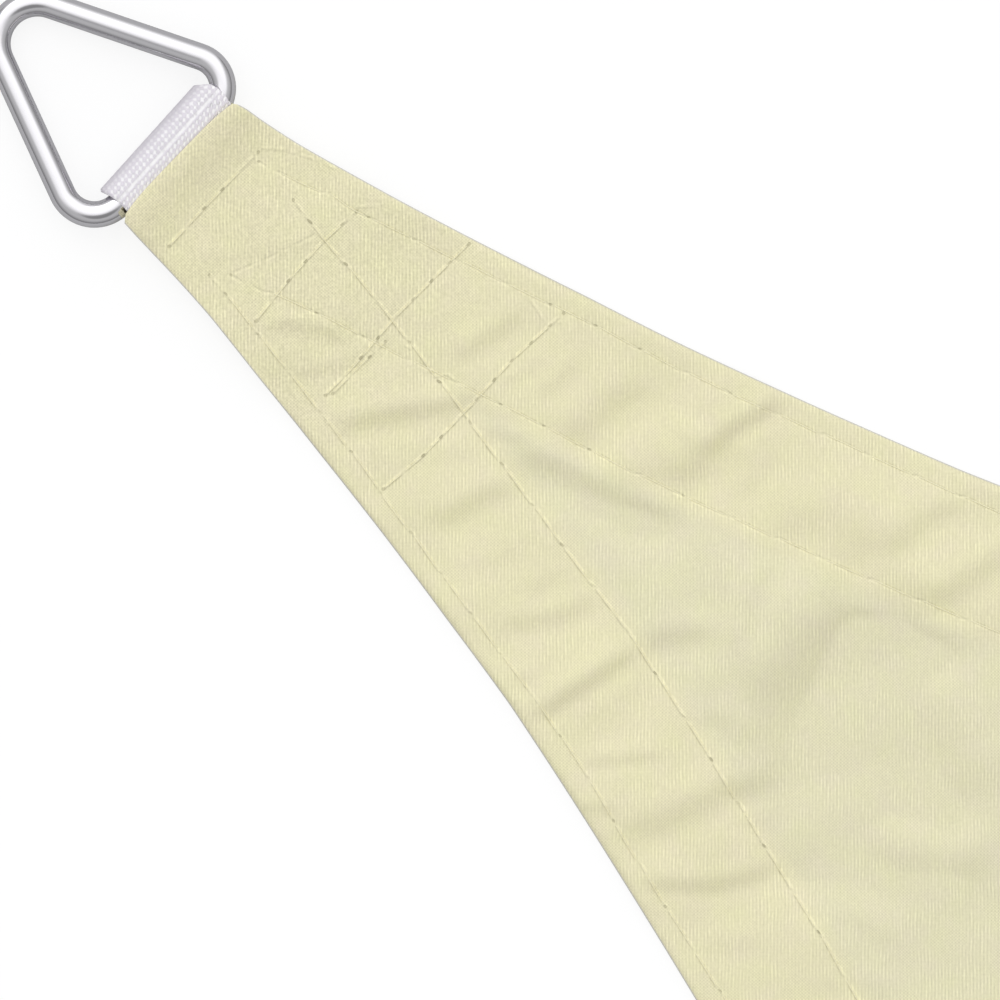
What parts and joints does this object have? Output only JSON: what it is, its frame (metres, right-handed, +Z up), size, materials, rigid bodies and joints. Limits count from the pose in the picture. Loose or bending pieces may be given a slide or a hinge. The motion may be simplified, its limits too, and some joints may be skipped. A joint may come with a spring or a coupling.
{
  "type": "shade sail",
  "caption": "Triangular hemmed fabric sun shade with hollow sides, a sewn webbing loop and a steel wire ring at each corner, laid out flat.",
  "frame": {"origin": "middle of the bounding box in plan, on the surface that the sail lies on", "axes": "+Z up out of the cloth's face, +X along one side from corner a to corner b, +Y towards corner c"},
  "size_m": [2.079, 1.803, 0.0095],
  "materials": {
    "cloth": "plain woven polyester, cream yellow, double-turned hems",
    "webbing": "white woven polyester webbing",
    "steel": "bright polished stainless steel wire"
  },
  "bodies": {
    "root": {"sail_cloth": "cloth", "webbing_loop_a": "webbing", "webbing_loop_b": "webbing", "webbing_loop_c": "webbing", "corner_ring_a": "steel", "corner_ring_b": "steel", "corner_ring_c": "steel"}
  },
  "joints": []
}
